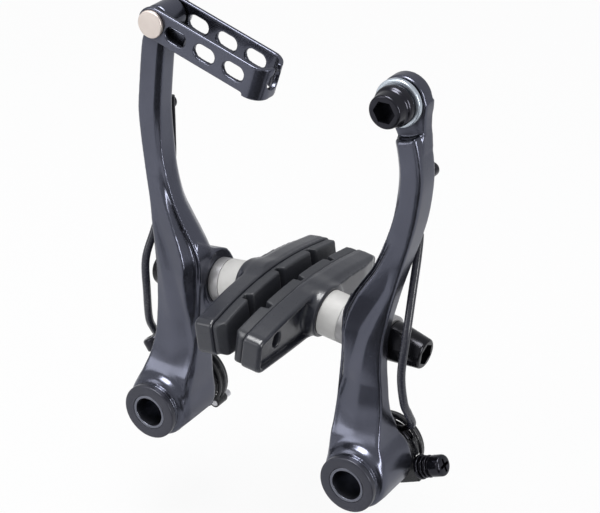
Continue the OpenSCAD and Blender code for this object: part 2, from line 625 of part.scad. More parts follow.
module cable_bolt() color("#2e2e34") at_arm(right) difference() {
    union() {
        translate([head_x, washer_y - bolt_head_h, bolt_h]) rotate([-90, 0, 0])
            cylinder(h = 0.6, r1 = bolt_head_d / 2 - 0.5, r2 = bolt_head_d / 2);
        bar_y(head_x, bolt_h, washer_y - bolt_head_h + 0.6, washer_y, bolt_head_d / 2);
        bar_y(head_x, bolt_h, washer_y - 1, bar_back + 0.8, bolt_d / 2);
    }
    hexagon_y(head_x, bolt_h, washer_y - bolt_head_h - 1, washer_y - bolt_head_h + 3.6, key_size);
}
module clamp_washer() color("#dfe6ec") at_arm(right) translate([head_x, washer_y, bolt_h]) difference() {
    bar_y(0, 0, 0, washer_t, washer_d / 2);
    bar_y(0, 0, -1, washer_t + 1, bolt_d / 2 + 2 * seat_fit);
    // one flat, so that the washer keeps its place on the arm
    rotate([0, 45, 0]) translate([washer_d / 2 - 0.8, -1, -washer_d]) cube([5, washer_t + 2, 2 * washer_d]);
}

left_arm();
right_arm();
pivot_bush(left);  // left_pivot_bush
pivot_bush(right);  // right_pivot_bush
front_collar(left);  // left_front_collar
front_collar(right);  // right_front_collar
spring_holder(left);  // left_spring_holder
spring_holder(right);  // right_spring_holder
anchor_pin(left);  // left_anchor_pin
anchor_pin(right);  // right_anchor_pin
return_spring(left);  // left_return_spring
return_spring(right);  // right_return_spring
spring_sleeve(left);  // left_spring_sleeve
spring_sleeve(right);  // right_spring_sleeve
hook_pin(left);  // left_hook_pin
hook_pin(right);  // right_hook_pin
tension_screw(left);  // left_tension_screw
tension_screw(right);  // right_tension_screw
shoe_holder(left);  // left_shoe_holder
shoe_holder(right);  // right_shoe_holder
friction_block(left);  // left_friction_block
friction_block(right);  // right_friction_block
shoe_stud(left);  // left_shoe_stud
shoe_stud(right);  // right_shoe_stud
inner_dome_washer(left);  // left_inner_dome_washer
inner_dome_washer(right);  // right_inner_dome_washer
inner_cup_washer(left);  // left_inner_cup_washer
inner_cup_washer(right);  // right_inner_cup_washer
outer_cup_washer(left);  // left_outer_cup_washer
outer_cup_washer(right);  // right_outer_cup_washer
outer_dome_washer(left);  // left_outer_dome_washer
outer_dome_washer(right);  // right_outer_dome_washer
shoe_nut(left);  // left_shoe_nut
shoe_nut(right);  // right_shoe_nut
cable_link();
link_pin();
link_pin_clip();
cable_bolt();
clamp_washer();
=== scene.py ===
# Looks of a linear-pull bicycle rim brake: two forged arms on their bushes, with shoes,
# return springs and the folded link that takes the cable. Lengths in the sections are
# in millimetres, in the frame of the CAD part, and become metres when a mesh is made.
from math import cos, pi, radians, sin

import bmesh
import bpy
import numpy as np
from mathutils import Matrix, Vector


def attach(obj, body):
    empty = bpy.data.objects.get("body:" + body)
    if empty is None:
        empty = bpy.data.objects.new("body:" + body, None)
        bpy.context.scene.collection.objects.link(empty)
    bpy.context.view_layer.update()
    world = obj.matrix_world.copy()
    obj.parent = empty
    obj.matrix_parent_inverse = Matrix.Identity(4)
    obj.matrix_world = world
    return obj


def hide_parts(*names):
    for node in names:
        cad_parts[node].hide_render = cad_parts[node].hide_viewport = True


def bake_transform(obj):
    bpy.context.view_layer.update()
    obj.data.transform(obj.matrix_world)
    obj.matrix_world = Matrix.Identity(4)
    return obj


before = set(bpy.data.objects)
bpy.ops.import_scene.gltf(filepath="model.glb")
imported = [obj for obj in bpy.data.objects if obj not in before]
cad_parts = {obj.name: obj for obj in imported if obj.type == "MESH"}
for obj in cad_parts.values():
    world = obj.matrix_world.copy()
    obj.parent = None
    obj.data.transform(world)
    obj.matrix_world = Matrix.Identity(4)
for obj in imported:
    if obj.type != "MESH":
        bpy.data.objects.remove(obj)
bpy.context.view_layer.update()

# Studio: a white sweep seen from a camera that stands high to the right and in front.
# The arms shine a little, so the light is one white tent with a few dark cards in it,
# which draw the black bands along the grooves and on the round bosses. Places here are
# in metres. The camera was fitted to the photograph, in its pixels.
PHOTO_W, PHOTO_H, FOCAL_PX, CENTRE_X, CENTRE_Y = 600, 513, 1922.06, 298.69, 255.93
camera = bpy.data.objects.new("camera", bpy.data.cameras.new("camera"))
camera.data.sensor_width = 36
camera.data.lens = camera.data.sensor_width * FOCAL_PX / PHOTO_W
camera.data.shift_x = (PHOTO_W / 2 - CENTRE_X) / PHOTO_W
camera.data.shift_y = (CENTRE_Y - PHOTO_H / 2) / PHOTO_W
camera.data.clip_start = 0.01
camera.matrix_world = Matrix((
    (0.84432, -0.26129, 0.46782, 0.22623),
    (0.53575, 0.39584, -0.74584, -0.33591),
    (0.00970, 0.88036, 0.47420, 0.27329),
    (0, 0, 0, 1)))
bpy.context.scene.collection.objects.link(camera)
bpy.context.scene.camera = camera
bpy.context.scene.view_settings.view_transform = "Standard"


def linear(hex_colour):
    """An sRGB hex colour as the linear colour that the shaders take."""
    parts = [int(hex_colour[i:i + 2], 16) / 255 for i in (1, 3, 5)]
    return [p / 12.92 if p <= 0.04045 else ((p + 0.055) / 1.055) ** 2.4 for p in parts] + [1]


def add(tree, kind, inputs=None, **settings):
    """One shader node with its settings, its values and the sockets that feed it."""
    node = tree.nodes.new("ShaderNode" + kind)
    for name, value in settings.items():
        setattr(node, name, value)
    for name, value in (inputs or {}).items():
        if isinstance(value, bpy.types.NodeSocket):
            tree.links.new(value, node.inputs[name])
        else:
            node.inputs[name].default_value = value
    return node


world = bpy.data.worlds.new("white_tent")
bpy.context.scene.world = world
world.use_nodes = True
sky = world.node_tree
sky.nodes.clear()
ray = add(sky, "LightPath")
tent = add(sky, "Background", {"Color": linear("#f4f5f8"), "Strength": 0.62})
white = add(sky, "Background", {"Color": (1, 1, 1, 1), "Strength": 1.0})
seen = add(sky, "MixShader", {0: ray.outputs["Is Camera Ray"], 1: tent.outputs[0],
                              2: white.outputs[0]})
add(sky, "OutputWorld", {"Surface": seen.outputs[0]})


def lamp(name, place, target, size, power):
    """A box lamp that faces a point."""
    light = bpy.data.lights.new(name, "AREA")
    light.shape = "RECTANGLE"
    light.size, light.size_y = size
    light.energy = power
    lamp_object = bpy.data.objects.new(name, light)
    place, target = Vector(place), Vector(target)
    lamp_object.location = place
    lamp_object.rotation_euler = (target - place).to_track_quat("-Z", "Y").to_euler()
    bpy.context.scene.collection.objects.link(lamp_object)
    return lamp_object


middle = (0, 0.015, 0.05)
lamp("overhead_box", (-0.05, -0.05, 0.75), middle, (0.4, 0.4), 2.4)
lamp("front_left_box", (-0.45, -0.6, 0.35), middle, (0.35, 0.5), 1.6)
# two boxes that only reflections see: they draw the bright shoulders and the lit rib lines
for box in (lamp("shine_above", (-0.04, -0.06, 0.7), middle, (0.36, 0.3), 4.5),
            lamp("shine_right", (0.55, -0.05, 0.2), middle, (0.12, 0.3), 1.6)):
    box.visible_diffuse = False


def board(name, place, target, size, material):
    """A flat card that faces a point."""
    mesh = bpy.data.meshes.new(name)
    w, h = size[0] / 2, size[1] / 2
    mesh.from_pydata([(-w, -h, 0), (w, -h, 0), (w, h, 0), (-w, h, 0)], [], [(0, 1, 2, 3)])
    card = bpy.data.objects.new(name, mesh)
    place = Vector(place)
    card.location = place
    card.rotation_euler = (Vector(target) - place).to_track_quat("Z", "Y").to_euler()
    card.data.materials.append(material)
    bpy.context.scene.collection.objects.link(card)
    return card


FLOOR_Z, CARD_Z = -0.034, -0.0335
# matt black flocked card: dark bands in what shines, and nothing else, since only
# reflections see it
flock = bpy.data.materials.new("matt_black_card")
flock.use_nodes = True
flock.node_tree.nodes["Principled BSDF"].inputs["Base Color"].default_value = linear("#0b0b0c")
flock.node_tree.nodes["Principled BSDF"].inputs["Roughness"].default_value = 1
# grey card on the floor in front: it keeps the white floor out of the leaning faces of
# the arms, and gives them a middle grey in its place
grey = flock.copy()
grey.name = "grey_card"
grey.node_tree.nodes["Principled BSDF"].inputs["Base Color"].default_value = linear("#5c5d62")
for card in (board("flag_low", (0.21, -0.115, CARD_Z), (0.21, -0.115, 1), (0.31, 0.2), flock),
             board("flag_right", (0.32, -0.21, 0.05), (0, 0, 0.05), (0.2, 0.22), flock),
             board("flag_front", (0.018, -0.2, CARD_Z), (0.018, -0.2, 1), (0.074, 0.25), grey)):
    card.visible_camera = False
    card.visible_diffuse = False
    card.visible_shadow = False

# plain white paper: pure white to the camera, but for the object's own soft shadow
paper = bpy.data.materials.new("white_paper_floor")
paper.use_nodes = True
tree = paper.node_tree
tree.nodes.clear()
ray = add(tree, "LightPath")
matt = add(tree, "BsdfDiffuse", {"Color": linear("#f2f2f2")})
bright = add(tree, "Emission", {"Color": (1, 1, 1, 1), "Strength": 1.0})
both = add(tree, "MixShader", {0: 0.9, 1: matt.outputs[0], 2: bright.outputs[0]})
shown = add(tree, "MixShader", {0: ray.outputs["Is Camera Ray"], 1: matt.outputs[0],
                                2: both.outputs[0]})
add(tree, "OutputMaterial", {"Surface": shown.outputs[0]})
board("floor", (0, 0.1, FLOOR_Z), (0, 0.1, 1), (4, 4), paper)


# Brake arms: forged from aluminium and painted a satin dark blue grey. Each arm is one
# lofted bar: below, a thin web whose front leans forward to its inner edge, with a valley
# and a ridge up across it, and a wall for the shoe; above, a square bar up to its head.
POST = 30
SKEW = radians(0.7)
WALL_X, STUD_Y, STUD_Z, STUD_TILT = -9, 20.6, 32.5, radians(7)
HOOK_H, LINK_H, BOLT_H, HEAD_X = 77.5, 103, 97, 3.2
BAR_IN, BAR_OUT, BAR_FRONT, BAR_BACK = 3.95, 10.45, 14, 21.3
BOSS_R, BOSS_FRONT, BOSS_BACK, BORE_R = 8.5, 3.0, 18.4, 4.86
RING_R, RING_FRONT = 7.2, 1.9
WALL_T, STUD_SLOT_R, STUD_TRAVEL, SPOT_R = 4.5, 3.25, 1.5, 6.5
BAR_HALF, PIN_BORE, BOLT_BORE, HOOK_BORE, HOOK_X = 3.25, 2.55, 3.05, 0.95, 7.2
WALL_TOP, LINK_FALL = 46.75, radians(17.3)
# cosine and sine of the link's fall, rounded
FALL_COS, FALL_SIN = 0.955, 0.297

# height, inner edge, inner edge of the front face, outer edge, front face, front of the
# wall or rib, back of the web, back of the wall, bevel of the inner back edge
STATIONS = [
    (-3, -7.9, -7.0, 7.0, 5.4, 6.2, 18.1, 18.1, 0.9),
    (0, -8.4, -7.5, 7.4, 5.2, 6.0, 18.2, 18.2, 0.9),
    (5, -8.8, -7.9, 7.0, 5.2, 6.2, 17.8, 18.0, 0.9),
    (9, -9.0, -8.1, 5.7, 5.7, 7.6, 16.4, 17.5, 0.9),
    (12, -9.0, -8.3, 4.9, 7.2, 9.1, 15.6, 17.3, 0.9),
    (15.5, -9.0, -8.4, 4.3, 8.5, 9.9, 14.4, 17.2, 0.9),
    (19, -9.0, -8.1, 3.9, 9.3, 10.3, 14.0, 17.2, 0.9),
    (23, -9.0, -7.1, 3.6, 9.6, 10.8, 14.0, 17.3, 0.9),
    (29, -9.0, -6.0, 3.2, 9.7, 11.6, 14.0, 17.6, 0.9),
    (36, -9.0, -5.2, 3.4, 10.1, 11.9, 14.0, 19.0, 1.2),
    (41, -8.7, -4.6, 4.1, 10.7, 12.0, 14.6, 20.2, 2.2),
    (46, -6.45, -2.85, 4.9, 11.3, 12.0, 15.8, 20.7, 3.3),
    (50, -4.05, -0.95, 5.6, 11.8, 12.0, 16.9, 20.9, 3.7),
    (55, -1.05, 1.35, 6.55, 12.4, 12.5, 18.6, 21.1, 3.7),
    (62, 1.65, 3.45, 8.15, 13.1, 13.3, 20.5, 21.2, 2.6),
    (69, 3.35, 4.75, 9.55, 13.7, 14.3, 21.3, 21.3, 1.4),
    (HOOK_H, 3.95, 5.25, 10.45, 14.0, 15.3, 21.3, 21.3, 1.2)]


def head_station(z, lean, half):
    """A section of the bar between the hook pin and the head."""
    inner = BAR_IN + (HEAD_X - half - BAR_IN) * lean
    outer = BAR_OUT + (HEAD_X + half - BAR_OUT) * lean
    back = BAR_BACK - 0.05
    return (z, inner, inner + 1.3, outer, BAR_FRONT + 0.05, BAR_FRONT + 1.35, back, back, 1.2)


def smooth_rows(rows, steps):
    """Rows of numbers made denser along a smooth curve through them."""
    rows = np.array(rows, float)
    ends = np.vstack([rows[:1], rows, rows[-1:]])
    out = []
    for i in range(len(rows) - 1):
        a, b, c, d = ends[i:i + 4]
        for t in np.arange(steps) / steps:
            out.append(0.5 * (2 * b + (c - a) * t + (2 * a - 5 * b + 4 * c - d) * t ** 2
                              + (3 * b - a - 3 * c + d) * t ** 3))
    return np.array(out + [rows[-1]])


def rounded(corners, steps=4):
    """A closed outline of (x, y, rounding) corners with each corner rounded off."""
    p = np.array(corners, float)
    out = []
    for i in range(len(p)):
        here, back, ahead = p[i, :2], p[i - 1, :2], p[(i + 1) % len(p), :2]
        to_back, to_ahead = back - here, ahead - here
        lb, la = np.linalg.norm(to_back), np.linalg.norm(to_ahead)
        r = min(p[i, 2], 0.48 * lb, 0.48 * la)
        if r < 1e-3:
            out.append(here)
            continue
        a, b = here + to_back / lb * r, here + to_ahead / la * r
        for s in np.linspace(0, 1, steps + 1):
            out.append((1 - s) ** 2 * a + 2 * s * (1 - s) * here + s * s * b)
    return np.array(out)


def outline_distance(x, y, outline):
    """Distance of points from a closed outline, negative inside it."""
    best = np.full(x.shape, 1e9)
    inside = np.zeros(x.shape, bool)
    ahead = np.roll(outline, -1, axis=0)
    for (ax, ay), (bx, by) in zip(outline, ahead):
        ex, ey = bx - ax, by - ay
        size = ex * ex + ey * ey
        if size < 1e-12:
            continue
        wx, wy = x - ax, y - ay
        t = np.clip((wx * ex + wy * ey) / size, 0, 1)
        best = np.minimum(best, (wx - ex * t) ** 2 + (wy - ey * t) ** 2)
        crosses = (ay > y) != (by > y)
        if ey:
            inside ^= crosses & (wx < ex * wy / ey)
    return np.where(inside, -1, 1) * np.sqrt(best)


def between(along, start, end):
    """Distance from what lies between two flat ends."""
    return np.abs(along - (start + end) / 2) - (end - start) / 2


def thick(side, ends, edge):
    """Distance from a form with an outline and flat ends, its rims rounded."""
    a, b = side + edge, ends + edge
    return np.minimum(np.maximum(a, b), 0) + np.hypot(np.maximum(a, 0), np.maximum(b, 0)) - edge


def round_bar(radial, along, radius, start, end, edge):
    """Distance from a round bar with rounded rims."""
    return thick(radial - radius, between(along, start, end), edge)


def blend(a, b, width):
    """Two forms joined with a fillet of about that width."""
    h = np.clip(0.5 + 0.5 * (b - a) / width, 0, 1)
    return b + (a - b) * h - width * h * (1 - h)


def carve(field, low, high, pitch):
    """The surface where a field of distances is zero, as points and four-sided faces."""
    axes = [np.arange(l, h + pitch, pitch) for l, h in zip(low, high)]
    x, y = np.meshgrid(axes[0], axes[1], indexing="ij")
    f = np.stack([field(x, y, z) for z in axes[2]], axis=2)
    f[np.abs(f) < 1e-6] = 1e-6
    n = np.array(f.shape) - 1
    total = np.zeros(tuple(n) + (3,))
    count = np.zeros(tuple(n))
    offsets = [(i, j) for i in (0, 1) for j in (0, 1)]
    for axis in range(3):
        others = [k for k in range(3) if k != axis]
        for o in offsets:
            start = [slice(0, n[k]) for k in range(3)]
            shift = np.zeros(3)
            for k, v in zip(others, o):
                start[k] = slice(v, n[k] + v)
                shift[k] = v
            end = list(start)
            end[axis] = slice(1, n[axis] + 1)
            a, b = f[tuple(start)], f[tuple(end)]
            hit = (a < 0) != (b < 0)
            t = np.where(hit, a / np.where(hit, a - b, 1), 0)
            total += hit[..., None] * shift
            total[..., axis] += np.where(hit, t, 0)
            count += hit
    used = count > 0
    index = np.full(tuple(n), -1)
    index[used] = np.arange(used.sum())
    cells = np.argwhere(used)
    points = (cells + total[used] / count[used][:, None]) * pitch + np.array([a[0] for a in axes])
    faces = []
    for axis in range(3):
        u, v = [(1, 2), (2, 0), (0, 1)][axis]
        span = [slice(1, n[k]) for k in range(3)]
        span[axis] = slice(0, n[axis])
        ahead = list(span)
        ahead[axis] = slice(1, n[axis] + 1)
        a, b = f[tuple(span)] < 0, f[tuple(ahead)] < 0
        base = np.argwhere(a != b) + np.array([0 if k == axis else 1 for k in range(3)])
        rising = a[a != b]
        ring = []
        for du, dv in ((-1, -1), (0, -1), (0, 0), (-1, 0)):
            c = base.copy()
            c[:, u] += du
            c[:, v] += dv
            ring.append(index[tuple(c.T)])
        ring = np.stack(ring, axis=1)
        faces.append(np.where(rising[:, None], ring, ring[:, ::-1]))
    return points, np.vstack(faces)


def turn_y(angle):
    """Turn about Y, as the part's source turns."""
    m = np.eye(4)
    m[0, 0], m[0, 2], m[2, 0], m[2, 2] = cos(angle), sin(angle), -sin(angle), cos(angle)
    return m


def move(x, y, z):
    """Move along the axes."""
    m = np.eye(4)
    m[:3, 3] = x, y, z
    return m


def post_frame(side):
    """Where the parts on a post stand; the left side is the right one mirrored."""
    return move(side * POST, 0, 0) @ np.diag([side, 1, 1, 1])


def arm_frame(side):
    """Where an arm stands, turned a little about its post."""
    return move(side * POST, 0, 0) @ turn_y(-SKEW) @ np.diag([side, 1, 1, 1])


def stud_frame(side):
    """Where the shoe's stud crosses the wall of the arm, its X along the stud."""
    return arm_frame(side) @ move(WALL_X, STUD_Y, STUD_Z) @ turn_y(STUD_TILT)


def piece(name, points, faces, place, material, body, nodes, crease=None):
    """A mesh object in metres that stands for CAD nodes and rides on a body, if one is given."""
    points = np.c_[np.asarray(points, float), np.ones(len(points))] @ np.asarray(place).T
    if np.linalg.det(np.asarray(place)[:3, :3]) < 0:
        faces = [list(f)[::-1] for f in faces]
    mesh = bpy.data.meshes.new(name)
    mesh.from_pydata((points[:, :3] / 1000).tolist(), [], [list(map(int, f)) for f in faces])
    mesh.validate()
    mesh.shade_smooth()
    if crease is not None:
        mesh.set_sharp_from_angle(angle=radians(crease))
    thing = bpy.data.objects.new(name, mesh)
    bpy.context.scene.collection.objects.link(thing)
    mesh.materials.append(material)
    if body:
        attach(thing, body)
    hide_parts(*nodes)
    return thing


# grid of the carved pieces, in millimetres
FINE = 0.3


def near(z, start, end):
    """0 up to a start and 1 from an end on, straight between them."""
    return min(max((z - start) / (end - start), 0), 1)


def arm_section(row):
    """The closed outline of an arm at one height, from the inner front corner round."""
    z, xi, xf, xo, yf, yr, yo, yb, c = row
    groove = 1.5 * near(z, 20, 40) * near(66 - z, 0, 12)
    # the front leans forward at its inner edge; a valley runs up across it, with a ridge beside it
    lean = 2.1 * near(z, 24, 38) * near(62 - z, 0, 14)
    rise = 1.3 * near(z, 8, 20) * near(56 - z, 0, 12)
    upper = near(z, 50, 66)
    valley = 0.1 + 0.68 * near(z, 27, 53) * (1 - upper)
    ridge = max(valley + 0.15, 0.45 + 0.43 * near(z, 24, 48) * (1 - upper))
    xf -= 0.64 * lean
    wall = max(WALL_X + WALL_T if z < WALL_TOP else xi, xi + max(WALL_T / 2, c + 0.4))
    return rounded([
        (xi, yr, 0.4 + 0.7 * upper), (xi + 0.5 * (xf - xi), (yr + yf) / 2 + groove, 3),
        (xf, yf - lean, 0.5 + 0.6 * upper),
        (xf + valley * (xo - xf), yf - lean * (1 - valley) + 0.25 * rise, 0.8),
        (xf + ridge * (xo - xf), yf - lean * (1 - ridge) - 0.6 * rise, 1.0),
        (xo, yf, 0.8 + 2.0 * upper), (xo, yo, 0.8), (wall + 0.3, yo, 1.6), (wall, yb, 0.9),
        (xi + 0.8 * c, yb, 1.2), (xi, yb - c, 1.6)])


def make_arm_field(side):
    """The distance field of one arm: the left one carries the link, the right one the bolt."""
    left = side < 0
    head_h, head_r, lug_front, bend = (LINK_H, 3.9, 14, 0.28) if left else (BOLT_H, 6, 17, 0.43)
    neck = head_h - head_r + 0.6
    rows = STATIONS + [
        head_station(HOOK_H + (neck - HOOK_H) * bend, 0.1, BAR_HALF),
        head_station(HOOK_H + (neck - HOOK_H) * (bend + (1 - bend) * 0.75), 0.45, BAR_HALF),
        head_station(neck, 0.75, BAR_HALF),
        head_station(head_h, 1, min(BAR_HALF, head_r - 0.3))]
    dense = smooth_rows(rows, 8)

    def field(x, y, z):
        row = [z] + [np.interp(z, dense[:, 0], dense[:, k]) for k in range(1, 9)]
        d = np.maximum(outline_distance(x, y, arm_section(row)), max(z - head_h, -3 - z))
        post, seat = np.hypot(x, z), np.hypot(x - HEAD_X, z - head_h)
        d = blend(d, round_bar(post, y, BOSS_R, BOSS_FRONT, BOSS_BACK, 1.6), 2.2)
        d = np.minimum(d, round_bar(post, y, RING_R, RING_FRONT, BOSS_FRONT + 1, 0.2))
        d = blend(d, round_bar(seat, y, head_r, lug_front, BAR_BACK, 0.6), 1.2)
        # boss for the shoe, with the web that runs up from it behind the bar
        px, pz = x - WALL_X, z - STUD_Z
        across = px * cos(STUD_TILT) - pz * sin(STUD_TILT)
        up = px * sin(STUD_TILT) + pz * cos(STUD_TILT)
        ring = np.hypot(y - STUD_Y, np.maximum(np.abs(up) - STUD_TRAVEL, 0))
        d = blend(d, round_bar(ring, across, SPOT_R + 0.3, -0.5, WALL_T, 0.6), 1.6)
        web = outline_distance(y - STUD_Y, up, np.array(
            [(-8, 3), (-7, 13.2), (-3.2, 10.4), (0.6, 8.4), (4.4, 6.8), (6, 3)]))
        d = blend(d, np.maximum(web, between(across, 0, WALL_T)), 1.2)
        if left:
            # small lug in the channel of the link beside the pin, seen through the first slot
            along = (HEAD_X - x) * FALL_COS + (head_h - z) * FALL_SIN
            over = (HEAD_X - x) * FALL_SIN + (z - head_h) * FALL_COS
            lug = np.maximum(between(along, -0.6, 8.6), between(over, -3.5, 0.3))
            d = blend(d, np.maximum(lug, between(y, BAR_FRONT + 0.3, BAR_FRONT + 3.1)), 0.4)
        else:
            # neck behind the seat of the clamp washer, which is cut down round the bolt
            neck_in = 2.3 - 5.1 * near(z, 88, 97)
            behind = np.maximum(np.maximum(neck_in - x, x - 9.2), between(y, lug_front, BAR_BACK))
            d = blend(d, np.maximum(behind, max(86 - z, z - head_h)), 1.2)
            d = -blend(-d, np.maximum(seat - 8.7, y - lug_front), 1.3)
        hook = np.hypot(x - HOOK_X, z - HOOK_H)
        # cuts: bore, slot for the stud with a spot face on each side, head, hook pin
        cuts = (post - BORE_R, np.maximum(ring - STUD_SLOT_R, between(across, -4, 8)),
                np.maximum(ring - SPOT_R, between(across, -12.5, -0.5)),
                np.maximum(ring - SPOT_R, between(across, WALL_T, 18.5)),
                seat - (PIN_BORE if left else BOLT_BORE),
                np.maximum(hook - HOOK_BORE, 19.1 - y))
        for cut in cuts:
            d = np.maximum(d, -cut)
        return d
    return field


# satin dark blue grey paint with a metal flake in it, over a blasted forging: the eye gets
# a soft metal shine, broad lights along the ribs and a faint grain
arm_paint = bpy.data.materials.new("satin_dark_blue_grey_paint")
arm_paint.use_nodes = True
tree = arm_paint.node_tree
shader = tree.nodes["Principled BSDF"]
spot = add(tree, "TexCoord").outputs["Object"]
# grain in mm, drawn coarser than the real 0.1 so that it shows, and clouds in the paint
PAINT_GRAIN, PAINT_CLOUD = 0.3, 14
grain = add(tree, "TexNoise", {"Vector": spot, "Scale": 1000 / PAINT_GRAIN, "Detail": 3.0,
                               "Roughness": 0.6})
cloud = add(tree, "TexNoise", {"Vector": spot, "Scale": 1000 / PAINT_CLOUD, "Detail": 2.0})
tone = add(tree, "MapRange", {"Value": cloud.outputs["Fac"], "From Min": 0.3, "From Max": 0.7,
                              "To Min": 0.0, "To Max": 1.0})
dye = add(tree, "Mix", {"Factor": tone.outputs["Result"], "A": linear("#555762"),
                        "B": linear("#5d5f6b")}, data_type="RGBA")
# painted shade: ambient occlusion darkens the base colour in hollows and on the inside of the folded
# link
painted_hollow_shade = add(tree, "AmbientOcclusion", {"Color": dye.outputs["Result"], "Distance": 0.009}, samples=8)
tree.links.new(painted_hollow_shade.outputs["Color"], shader.inputs["Base Color"])
shine = add(tree, "MapRange", {"Value": grain.outputs["Fac"], "From Min": 0.3, "From Max": 0.7,
                               "To Min": 0.2, "To Max": 0.28})
tree.links.new(shine.outputs["Result"], shader.inputs["Roughness"])
relief = add(tree, "Bump", {"Height": grain.outputs["Fac"], "Strength": 0.12, "Distance": 0.00003})
tree.links.new(relief.outputs["Normal"], shader.inputs["Normal"])
shader.inputs["Metallic"].default_value = 0.9

for side, body in ((-1, "left_arm"), (1, "right_arm")):
    top = 107.6 if side < 0 else 103.7
    points, faces = carve(make_arm_field(side), (-10.5, 1.2, -9.4), (11.6, 29.4, top), FINE)
    piece(body + "_forging", points, faces, arm_frame(side), arm_paint, body, [body])


# Pivot parts: a steel bush that goes over the frame post and that the arm turns on, and
# the flat dark collar round its front end. Both are turned; the collar is painted.
def lathe(outline, steps=72):
    """A turned piece from a closed outline of (along, radius) points, its axis along X."""
    outline = np.asarray(outline, float)
    n = len(outline)
    points, faces = [], []
    for k in range(steps):
        a = 2 * pi * k / steps
        points += [(p[0], p[1] * cos(a), p[1] * sin(a)) for p in outline]
    for k in range(steps):
        m = (k + 1) % steps
        for i in range(n):
            j = (i + 1) % n
            if outline[i][1] < 1e-6 and outline[j][1] < 1e-6:
                continue
            faces.append([k * n + i, k * n + j, m * n + j, m * n + i])
    return points, faces


def along_y(x, z):
    """Places a turned piece with its axis along +Y."""
    m = np.eye(4)
    m[:3, :3] = [[0, 1, 0], [1, 0, 0], [0, 0, 1]]
    m[0, 3], m[2, 3] = x, z
    return m


def weld(thing):
    """Joins doubled points on a turned piece's axis and drops what has no area."""
    shape = bmesh.new()
    shape.from_mesh(thing.data)
    bmesh.ops.remove_doubles(shape, verts=shape.verts, dist=1e-7)
    bmesh.ops.dissolve_degenerate(shape, edges=shape.edges, dist=1e-7)
    bmesh.ops.recalc_face_normals(shape, faces=shape.faces)
    shape.to_mesh(thing.data)
    shape.free()


def turned(name, corners, place, material, body, nodes, steps=72, crease=35):
    """A turned piece from corners, each a place along the axis, a radius and a rounding."""
    points, faces = lathe(rounded(corners), steps)
    thing = piece(name, points, faces, place, material, body, nodes)
    weld(thing)
    thing.data.shade_smooth()
    thing.data.set_sharp_from_angle(angle=radians(crease))
    return thing


def metal(name, colour, other, roughness, grain_mm, metallic=1.0, bump=0.1):
    """A metal that clouds between two colours, with a grain in its shine and its skin."""
    material = bpy.data.materials.new(name)
    material.use_nodes = True
    tree = material.node_tree
    shader = tree.nodes["Principled BSDF"]
    spot = add(tree, "TexCoord").outputs["Object"]
    grain = add(tree, "TexNoise", {"Vector": spot, "Scale": 1000 / grain_mm, "Detail": 3.0})
    cloud = add(tree, "TexNoise", {"Vector": spot, "Scale": 1000 / (grain_mm * 12), "Detail": 2.0})
    dye = add(tree, "Mix", {"Factor": cloud.outputs["Fac"], "A": linear(colour),
                            "B": linear(other)}, data_type="RGBA")
    tree.links.new(dye.outputs["Result"], shader.inputs["Base Color"])
    shine = add(tree, "MapRange", {"Value": grain.outputs["Fac"], "From Min": 0.3, "From Max": 0.7,
                                   "To Min": roughness * 0.85, "To Max": roughness * 1.15})
    tree.links.new(shine.outputs["Result"], shader.inputs["Roughness"])
    relief = add(tree, "Bump", {"Height": grain.outputs["Fac"], "Strength": bump, "Distance": 0.00003})
    tree.links.new(relief.outputs["Normal"], shader.inputs["Normal"])
    shader.inputs["Metallic"].default_value = metallic
    return material


# phosphated steel: dull grey, with a soft ring of light round the bore
bush_steel = metal("phosphated_steel_bush", "#7c7e88", "#6a6c76", 0.35, 0.25)
# satin paint on steel: an even dark face with one thin lit line at its rim
collar_paint = metal("satin_painted_steel", "#383942", "#40414b", 0.33, 0.3, metallic=0.4,
                     bump=0.15)
for side, who in ((-1, "left"), (1, "right")):
    place = post_frame(side) @ along_y(0, 0)
    turned(who + "_bush", [(0, 4, 0.2), (0, 4.8, 0.25), (25, 4.8, 0.25), (25, 4, 0.2)],
           place, bush_steel, "post_fittings", [who + "_pivot_bush"])
    turned(who + "_collar", [(0, 4.85, 0.12), (0, 7.6, 0.4), (1.6, 7.6, 0.3), (1.6, 4.85, 0.12)],
           place, collar_paint, "post_fittings", [who + "_front_collar"])


# Spring holders: a black acetal cup behind each arm that holds the coil. Its rim is
# ridged so that it can be gripped, and a lug on it takes the tension screw. The left
# lug sits further round than the right one. A steel pin in the back fits the frame's hole.
HOLDER_TURN, SCREW_DIR = radians(30), radians(24.5)
BUSH_R, HOLDER_FRONT, HOLDER_BACK = 4.8, 18.7, 24.3
WIRE, COIL_R, COIL_TURNS, COIL_END = 1.5, 6.4, 1.5, 74
COIL_BACK = HOLDER_BACK - 0.3 - WIRE / 2
COIL_FRONT = COIL_BACK - COIL_TURNS * (WIRE + 0.1)
ANCHOR = (-6.9, -5.4)


def screw_frame(side):
    """Where a tension screw stands in its holder, its X along the screw."""
    turned_by = turn_y(-HOLDER_TURN) if side < 0 else np.eye(4)
    return turned_by @ move(9.5, HOLDER_FRONT + 1.9, -2.8) @ turn_y(-SCREW_DIR)


